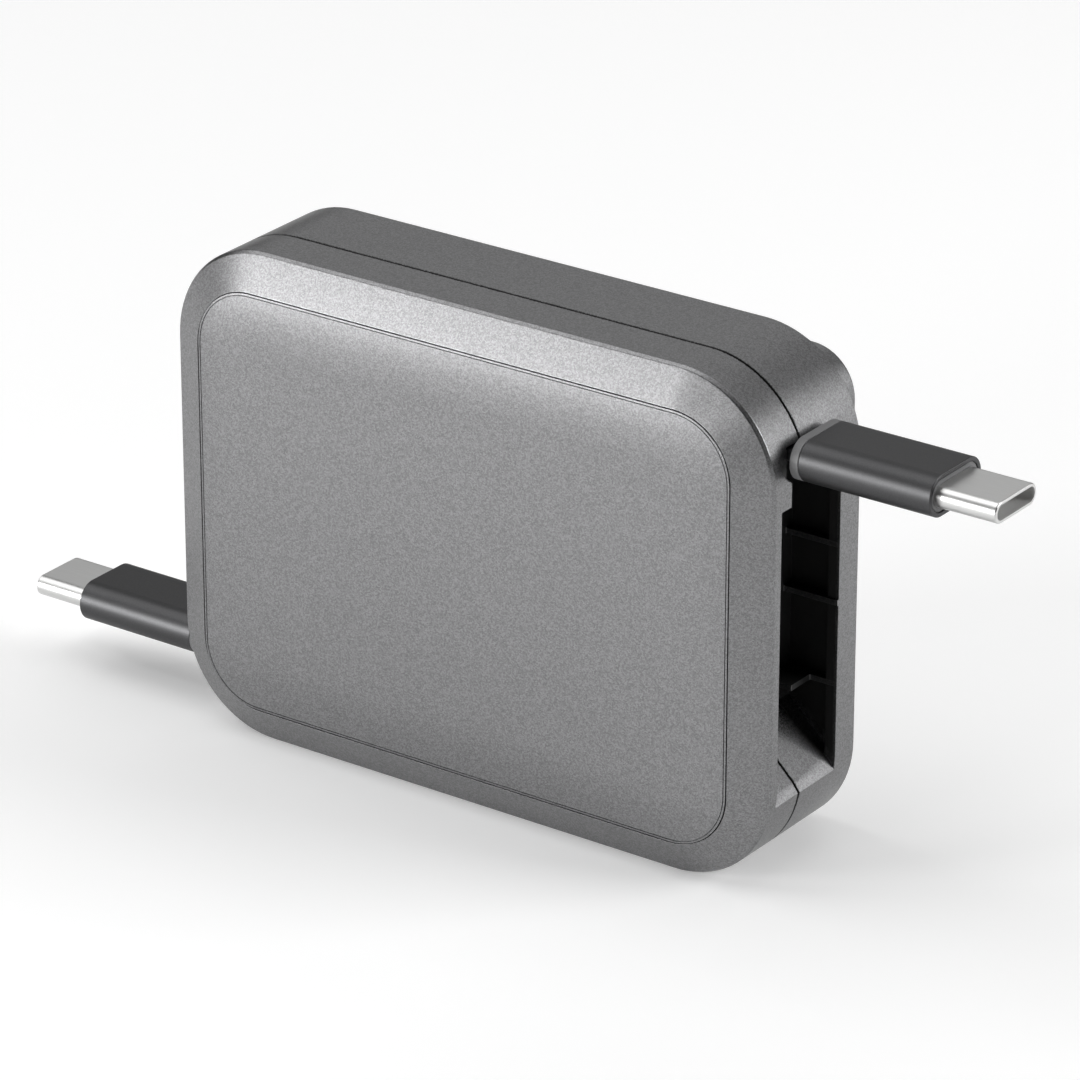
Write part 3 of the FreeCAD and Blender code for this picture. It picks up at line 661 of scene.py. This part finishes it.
class CABLE_OT_cover(bpy.types.Operator):
    """Models the raised rear cover"""
    bl_idname = "cable.cover"
    bl_label = "Rear cover"

    def execute(self, context):
        case = context.scene.cable_case
        paint = finish_of("flake_lacquer_on_abs", case_paint, case)
        size = cover_high - cover_low
        middle = (cover_low + cover_high) / 2
        foot = Vector((middle.x, cover_low.y, middle.z))
        piece = start_piece("rear_cover_finished", foot, TO_BACK, size.x, size.z)
        round_corners(case.cover_corner, segments=12)
        extrude((0, size.y, 0))
        bpy.ops.mesh.bevel(offset=case.cover_edge, segments=5, affect="EDGES")
        select_faces(piece, lambda middle, normal: normal.y < -SQUARE_ON)
        bpy.ops.mesh.inset(thickness=case.wall)
        extrude((0, size.y - case.wall, 0))
        close_piece(piece, paint, smooth_below=35)
        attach(piece, "housing")
        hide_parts("rear_cover")
        return {"FINISHED"}


def stadium(name, place_x, low, high):
    """A flat outline with fully rounded sides across a plug, facing its nose. The ends of two corners fall
    together on each side, where they are merged."""
    middle = (low + high) / 2
    size = high - low
    piece = start_piece(name, (place_x, middle.y, middle.z), TO_RIGHT, size.y, size.z)
    round_corners(size.z / 2, segments=16)
    bpy.ops.mesh.remove_doubles(threshold=0.01 * MM)
    return piece


def open_tube(name, low, high, wall, rim):
    """A thin-walled sleeve between two ends, with rounded rims."""
    piece = stadium(name, low.x, low, high)
    extrude((high.x - low.x, 0, 0))
    select_faces(piece, lambda middle, normal: abs(normal.x) > SQUARE_ON)
    bpy.ops.mesh.delete(type="FACE")
    skin = piece.modifiers.new("wall", "SOLIDIFY")
    skin.thickness = wall
    skin.offset = -1
    edge = piece.modifiers.new("rims", "BEVEL")
    edge.width = rim
    edge.segments = 4
    edge.limit_method = "ANGLE"
    edge.angle_limit = math.radians(50)
    return piece


class CABLE_OT_sleeves(bpy.types.Operator):
    """Models the aluminium sleeves of both plugs"""
    bl_idname = "cable.sleeves"
    bl_label = "Plug sleeves"

    def execute(self, context):
        plug = context.scene.cable_plug
        metal = finish_of("dark_anodised_aluminium", anodised_sleeve, plug)
        name = "right_plug_sleeve_finished"
        piece = open_tube(name, sleeve_low, sleeve_high, plug.sleeve_wall, plug.sleeve_edge)
        close_piece(piece, metal, smooth_below=40)
        seat_pair(piece, "plug_sleeve")
        return {"FINISHED"}


class CABLE_OT_plug_bodies(bpy.types.Operator):
    """Models the moulded bodies of both plugs, with the pocket that the connector stands in"""
    bl_idname = "cable.plug_bodies"
    bl_label = "Plug bodies"

    def execute(self, context):
        plug = context.scene.cable_plug
        # Fine-grained and lighter than the sleeve, so that the collar shows as a pale ring
        plastic = plastic_of("moulded_plug_plastic", plug.moulding, 0.15 * MM, 0.5)
        piece = stadium("right_plug_body_finished", body_low.x, body_low, body_high)
        soft = plug.sleeve_edge
        extrude((sleeve_low.x - body_low.x - soft / 2, 0, 0))
        bpy.ops.mesh.inset(thickness=soft / 2, depth=soft / 2)
        bpy.ops.mesh.inset(thickness=plug.sleeve_wall - soft / 2)
        extrude((body_high.x - sleeve_low.x - plug.shadow_gap, 0, 0))
        bpy.ops.mesh.inset(thickness=plug.shadow_gap)
        extrude((plug.shadow_gap, 0, 0))

        # The pocket clears the connector by this much all round
        clearance = 0.03 * MM
        rim = plug.sleeve_wall + plug.shadow_gap
        connector_wide = shell_tip_high.y - shell_tip_low.y
        across = (body_high.y - body_low.y) / 2 - rim - connector_wide / 2 - clearance
        bpy.ops.mesh.inset(thickness=across)
        inset_high = (body_high.z - body_low.z) - 2 * rim - 2 * across
        pocket_high = shell_tip_high.z - shell_tip_low.z + 2 * clearance
        bpy.ops.transform.resize(value=(1, 1, pocket_high / inset_high))
        extrude((shell_tip_low.x - body_high.x, 0, 0))
        close_piece(piece, plastic, smooth_below=40)
        seat_pair(piece, "plug_body")
        return {"FINISHED"}


class CABLE_OT_connectors(bpy.types.Operator):
    """Models the metal connector shells and finishes what is inside them"""
    bl_idname = "cable.connectors"
    bl_label = "Connectors"

    def execute(self, context):
        plug = context.scene.cable_plug
        plating = finish_of("nickel_plated_steel", connector_plating, plug)
        size = shell_tip_high - shell_tip_low
        piece = stadium("right_connector_shell_finished", shell_tip_low.x, shell_tip_low, shell_tip_high)
        extrude((size.x, 0, 0))
        bpy.ops.mesh.bevel(offset=plug.nose, segments=4, affect="EDGES")

        # The metal is rolled in at the nose: behind the rim the bore runs straight in, and then it widens
        straight = 0.5 * MM
        widening = 0.15 * MM
        select_faces(piece, lambda middle, normal: normal.x > SQUARE_ON)
        bpy.ops.mesh.inset(thickness=plug.nose_rim)
        extrude((-straight, 0, 0))
        mouth = 2 * (plug.nose + plug.nose_rim)
        inside = 2 * plug.shell_wall
        wider = (size.y - inside) / (size.y - mouth)
        higher = (size.z - inside) / (size.z - mouth)
        extrude((-widening, 0, 0))
        bpy.ops.transform.resize(value=(1, wider, higher))
        extrude((-size.x, 0, 0))
        rear = shell_tip_low.x + plug.nose
        select_faces(piece, lambda middle, normal: abs(normal.x) > SQUARE_ON and middle.x < rear)
        bpy.ops.mesh.delete(type="FACE")
        bpy.ops.mesh.select_mode(type="EDGE")
        bpy.ops.mesh.select_non_manifold()
        bpy.ops.mesh.bridge_edge_loops()
        close_piece(piece, plating, smooth_below=40)

        # Faces that look in towards the middle line get the second finish
        piece.data.materials.append(finish_of("matt_tin_plated_steel", matt_tin, plug))
        looking_in = -0.1 * MM
        middle = (shell_tip_low + shell_tip_high) / 2
        for face in piece.data.polygons:
            out = face.center - middle
            face.material_index = int(out.y * face.normal.y + out.z * face.normal.z < looking_in)
        seat_pair(piece, "connector_shell")

        # Liquid crystal polymer moulds pale and matt. Stamped copper keeps faint tool lines under its gold.
        liner = plastic_of("grey_liquid_crystal_polymer", linear("#C6C6C6"), 0.2 * MM, 0.5)
        gold = metal_of("gold_plated_copper", linear("#D8B25E"), 0.5 * MM, 0.2)
        mask = finish_of("green_solder_mask", solder_mask)
        for side in SIDES:
            paint_node(side + "_contact_carrier", liner)
            paint_node(side + "_contacts", gold)
            paint_node(side + "_circuit_board", mask)
        return {"FINISHED"}


class CABLE_OT_ends(bpy.types.Operator):
    """Models the flat cable's two straight ends, which stretch from the case to their plugs"""
    bl_idname = "cable.ends"
    bl_label = "Cable ends"

    def execute(self, context):
        cable = context.scene.cable_cable
        jacket = jacket_material(cable)
        size = ribbon_high - ribbon_low
        middle = (ribbon_low + ribbon_high) / 2
        foot = (ribbon_low.x, middle.y, middle.z)
        piece = start_piece("right_cable_end_finished", foot, TO_RIGHT, size.y, size.z)
        round_corners(cable.edge, segments=4)

        # The first stretch stays in the case. The rest is cut into strips.
        plain = 24 * MM
        strips = 24
        extrude((plain, 0, 0))
        for _ in range(strips):
            extrude(((size.x - plain) / strips, 0, 0))
        close_piece(piece, jacket, smooth_below=40)
        pair = (piece, other_side_copy(piece, "left_cable_end_finished"))
        start = Vector((ribbon_low.x + plain, middle.y, middle.z))
        end = Vector((ribbon_high.x, middle.y, middle.z))
        half_turn = Matrix.Rotation(math.pi, 3, "Y")
        for side, each in zip(SIDES, pair):
            if side == "left":
                start = half_turn @ (start - turn_centre) + turn_centre
                end = half_turn @ (end - turn_centre) + turn_centre
            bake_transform(each)
            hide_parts(side + "_cable_end")
        return {"FINISHED"}


class CABLE_OT_winding(bpy.types.Operator):
    """Winds the two strands of cable on the reel, each half turn about its own centre"""
    bl_idname = "cable.winding"
    bl_label = "Cable winding"

    def execute(self, context):
        cable = context.scene.cable_cable
        jacket = jacket_material(cable)
        middle_y = (reel_low.y + reel_high.y) / 2
        width = reel_high.y - reel_low.y
        radius = (reel_high.x - reel_low.x) / 2
        thick = cable.thickness - cable.turn_gap
        start = (0, middle_y, axis_z + radius)
        strand = start_piece("cable_strand_one", start, TO_RIGHT, width, thick)
        round_corners(cable.edge, segments=3)
        for half in range(cable.half_turns):
            side = 1 if half % 2 else -1
            centre = (0, middle_y, axis_z - side * cable.thickness / 2)
            bpy.ops.mesh.spin(steps=cable.steps, angle=math.pi, center=centre, axis=(0, 1, 0))
        close_piece(strand, jacket, smooth_below=40)
        other = other_side_copy(strand, "cable_strand_two")
        for each in (strand, other):
            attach(each, "reel")
        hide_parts("cable_winding")
        return {"FINISHED"}


class CABLE_OT_mechanism(bpy.types.Operator):
    """Finishes the reel, its spring, its post and the ratchet"""
    bl_idname = "cable.mechanism"
    bl_label = "Mechanism"

    def execute(self, context):
        # Moulded acetal looks waxy, black on the reel and undyed on the pawl. The post is bright, with the
        # rings of its turning. Spring strip is dark blue from its tempering, and its edges show as rings.
        black = plastic_of("black_acetal", linear("#29292A"), 0.2 * MM, 0.42)
        natural = plastic_of("natural_acetal", linear("#DDD9CC"), 0.2 * MM, 0.4)
        turned = metal_of("turned_steel", linear("#BFC0C2"), 0.15 * MM, 0.3)
        strip = metal_of("blued_spring_strip", linear("#5F6675"), 0.3 * MM, 0.32)
        paint_node("reel_drum", black)
        paint_node("ratchet_disc", black)
        paint_node("pawl", natural)
        paint_node("centre_post", turned)
        paint_node("mainspring", strip)
        paint_node("pawl_leaf", strip)
        return {"FINISHED"}


# Studio


def stand_light(name, lamp, place, away):
    """Puts a lamp at its place, shining straight back from the direction away."""
    light = bpy.data.objects.new(name, lamp)
    bpy.context.collection.objects.link(light)
    light.matrix_world = Matrix.Translation(place) @ away.to_track_quat("Z", "Y").to_matrix().to_4x4()


def soft_light(name, direction, size, radiance):
    """A square light that faces the object from that direction and looks that bright from there."""
    lamp = bpy.data.lights.new(name, "AREA")
    lamp.shape = "SQUARE"
    lamp.size = size
    lamp.energy = radiance * math.pi * size * size
    away = Vector(direction).normalized()
    stand_light(name, lamp, turn_centre + away * LIGHT_DISTANCE, away)


def floor_lamp(name, place, aim, power):
    """A lamp that lights a soft round patch of the floor, which throws its light up at the object."""
    lamp = bpy.data.lights.new(name, "SPOT")
    lamp.spot_size = math.radians(26)
    lamp.spot_blend = 0.9
    lamp.shadow_soft_size = 30 * MM
    lamp.energy = power
    stand_light(name, lamp, place, place - aim)


def floor_material(settings):
    """Matt white paper sweep: it takes the shadow, and shows the camera and mirrors a little light of its
    own, which grows far out so that the paper looks as pale there."""
    tree = new_material("white_paper_sweep")
    paper = add_node(tree, "ShaderNodeBsdfDiffuse", {}, {"Color": (*settings.floor, 1)})
    rays = add_node(tree, "ShaderNodeLightPath").outputs
    seen = rays["Is Camera Ray"]
    for name in ("Is Glossy Ray", "Is Transmission Ray"):
        either = add_node(tree, "ShaderNodeMath", {"operation": "MAXIMUM"}, {0: seen, 1: rays[name]})
        seen = either.outputs[0]
    place = add_node(tree, "ShaderNodeTexCoord").outputs["Object"]
    far = add_node(tree, "ShaderNodeVectorMath", {"operation": "LENGTH"}, {0: place}).outputs["Value"]
    glow = add_node(tree, "ShaderNodeMapRange", {"interpolation_type": "SMOOTHSTEP"}, {
        "Value": far, "From Min": settings.glow_start, "From Max": settings.glow_end,
        "To Min": settings.floor_glow, "To Max": settings.far_glow,
    }).outputs["Result"]
    shown = add_node(tree, "ShaderNodeMath", {"operation": "MULTIPLY"}, {0: seen, 1: glow}).outputs[0]
    light = add_node(tree, "ShaderNodeEmission", {}, {"Strength": shown})
    both = add_node(tree, "ShaderNodeAddShader", {}, {
        0: paper.outputs["BSDF"], 1: light.outputs["Emission"],
    })
    add_node(tree, "ShaderNodeOutputMaterial", {}, {"Surface": both.outputs["Shader"]})


class CABLE_OT_stage(bpy.types.Operator):
    """Sets up the floor, the soft lights and the camera"""
    bl_idname = "cable.stage"
    bl_label = "Stage"

    def execute(self, context):
        stage = context.scene.cable_stage
        bpy.ops.object.select_all(action="DESELECT")
        bpy.ops.mesh.primitive_plane_add(size=FLOOR_WIDTH, location=(0, 0, packed_low.z))
        floor = context.object
        floor.name = "floor"
        floor.data.materials.append(finish_of("white_paper_sweep", floor_material, stage))

        world = bpy.data.worlds.new("room")
        world.use_nodes = True
        world.node_tree.nodes["Background"].inputs["Strength"].default_value = 0
        context.scene.world = world
        for name, direction, size in LIGHTS:
            soft_light(name, direction, size, getattr(stage, name))
        floor_lamp("pool", POOL_PLACE, POOL_AIM, stage.pool)

        turn, rise = stage.azimuth, stage.elevation
        right = Vector((math.cos(turn), math.sin(turn), 0))
        back = Vector((math.sin(turn) * math.cos(rise), -math.cos(turn) * math.cos(rise), math.sin(rise)))
        up = back.cross(right)
        camera = bpy.data.objects.new("camera", bpy.data.cameras.new("camera"))
        context.collection.objects.link(camera)
        camera.data.lens = stage.lens
        camera.data.sensor_width = SENSOR_WIDTH_MM
        camera.data.clip_start = 10 * MM
        axes = Matrix((right, up, back)).transposed().to_4x4()
        camera.matrix_world = Matrix.Translation(Vector(stage.target) + back * stage.distance) @ axes
        context.scene.camera = camera
        context.scene.view_settings.view_transform = "Standard"
        return {"FINISHED"}


STEPS = (
    CABLE_OT_shells, CABLE_OT_panel, CABLE_OT_cover, CABLE_OT_mechanism, CABLE_OT_winding, CABLE_OT_ends,
    CABLE_OT_plug_bodies, CABLE_OT_sleeves, CABLE_OT_connectors, CABLE_OT_stage,
)


class CABLE_PT_steps(bpy.types.Panel):
    """Lists the steps and the settings of the retractable cable"""
    bl_idname = "CABLE_PT_steps"
    bl_label = "Retractable cable"
    bl_space_type = "VIEW_3D"
    bl_region_type = "UI"
    bl_category = "Cable"

    def draw(self, context):
        for step in STEPS:
            self.layout.operator(step.bl_idname)
        for scene_name, _ in SETTINGS:
            group = getattr(context.scene, scene_name)
            box = self.layout.box()
            for name in group.bl_rna.properties.keys():
                if name not in ("rna_type", "name"):
                    box.prop(group, name)


SETTINGS = (
    ("cable_case", CaseSettings), ("cable_plug", PlugSettings),
    ("cable_cable", CableSettings), ("cable_stage", StageSettings),
)


def register():
    """Adds the settings to the scene, and the steps and their panel to Blender."""
    for name, group in SETTINGS:
        bpy.utils.register_class(group)
        setattr(bpy.types.Scene, name, PointerProperty(type=group))
    for kind in STEPS + (CABLE_PT_steps,):
        bpy.utils.register_class(kind)


def unregister():
    """Takes them out again, last first."""
    for kind in reversed(STEPS + (CABLE_PT_steps,)):
        bpy.utils.unregister_class(kind)
    for name, group in reversed(SETTINGS):
        delattr(bpy.types.Scene, name)
        bpy.utils.unregister_class(group)


def main():
    """Builds the whole scene."""
    register()
    for step in STEPS:
        group, name = step.bl_idname.split(".")
        getattr(getattr(bpy.ops, group), name)()


if __name__ == "__main__":
    main()
